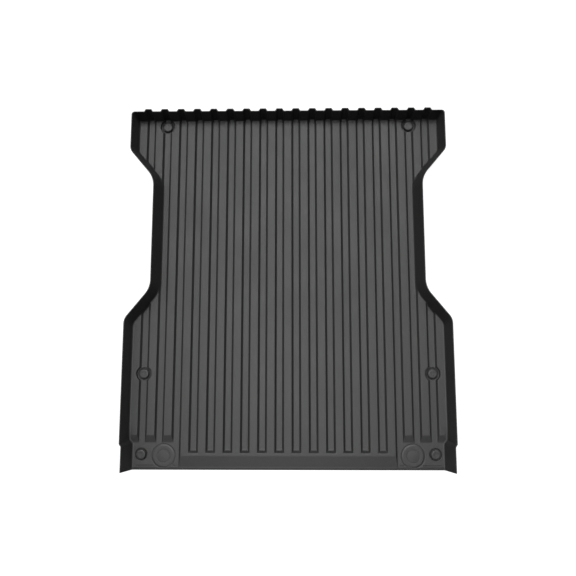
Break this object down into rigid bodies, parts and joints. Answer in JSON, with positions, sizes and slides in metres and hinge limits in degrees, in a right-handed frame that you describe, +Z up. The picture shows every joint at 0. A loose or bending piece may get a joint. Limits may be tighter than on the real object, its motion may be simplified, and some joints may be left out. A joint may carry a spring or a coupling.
{
  "type": "truck bed liner",
  "caption": "Corrugated moulded bed liner with low side and front walls, wheelhouse cut-ins, capped hold-down points and flush round access covers.",
  "frame": {"origin": "below the middle of the pan, on the plane it stands on", "axes": "+X to the right-hand wheelhouse, +Y towards the front bulkhead wall, +Z up; the open tailgate end faces -Y"},
  "size_m": [1.547, 1.744, 0.098],
  "materials": {
    "liner_polymer": "black moulded polymer with a fine pebble grain",
    "cap_polymer": "black moulded polymer, slightly smoother than the pan",
    "zinc_steel": "bright zinc plate",
    "seal_rubber": "black foam-faced rubber"
  },
  "bodies": {
    "liner": {"liner_pan": "liner_polymer", "front_left_bush_seal": "seal_rubber", "front_left_bush": "zinc_steel", "front_right_bush_seal": "seal_rubber", "front_right_bush": "zinc_steel", "middle_left_bush_seal": "seal_rubber", "middle_left_bush": "zinc_steel", "middle_right_bush_seal": "seal_rubber", "middle_right_bush": "zinc_steel", "rear_left_bush_seal": "seal_rubber", "rear_left_bush": "zinc_steel", "rear_right_bush_seal": "seal_rubber", "rear_right_bush": "zinc_steel", "left_cover_seal": "seal_rubber", "right_cover_seal": "seal_rubber"},
    "front_left_cap_body": {"front_left_cap": "cap_polymer"},
    "front_right_cap_body": {"front_right_cap": "cap_polymer"},
    "middle_left_cap_body": {"middle_left_cap": "cap_polymer"},
    "middle_right_cap_body": {"middle_right_cap": "cap_polymer"},
    "rear_left_cap_body": {"rear_left_cap": "cap_polymer"},
    "rear_right_cap_body": {"rear_right_cap": "cap_polymer"},
    "left_cover_body": {"left_access_cover": "cap_polymer"},
    "right_cover_body": {"right_access_cover": "cap_polymer"}
  },
  "joints": [
    {"name": "front_left_cap_lift", "type": "slide", "parent": "liner", "child": "front_left_cap_body", "axis": [0, 0, 1], "range_m": [0, 0.12]},
    {"name": "front_right_cap_lift", "type": "slide", "parent": "liner", "child": "front_right_cap_body", "axis": [0, 0, 1], "range_m": [0, 0.12]},
    {"name": "middle_left_cap_lift", "type": "slide", "parent": "liner", "child": "middle_left_cap_body", "axis": [0, 0, 1], "range_m": [0, 0.12]},
    {"name": "middle_right_cap_lift", "type": "slide", "parent": "liner", "child": "middle_right_cap_body", "axis": [0, 0, 1], "range_m": [0, 0.12]},
    {"name": "rear_left_cap_lift", "type": "slide", "parent": "liner", "child": "rear_left_cap_body", "axis": [0, 0, 1], "range_m": [0, 0.12]},
    {"name": "rear_right_cap_lift", "type": "slide", "parent": "liner", "child": "rear_right_cap_body", "axis": [0, 0, 1], "range_m": [0, 0.12]},
    {"name": "left_cover_lift", "type": "slide", "parent": "liner", "child": "left_cover_body", "axis": [0, 0, 1], "range_m": [0, 0.12]},
    {"name": "right_cover_lift", "type": "slide", "parent": "liner", "child": "right_cover_body", "axis": [0, 0, 1], "range_m": [0, 0.12]}
  ]
}
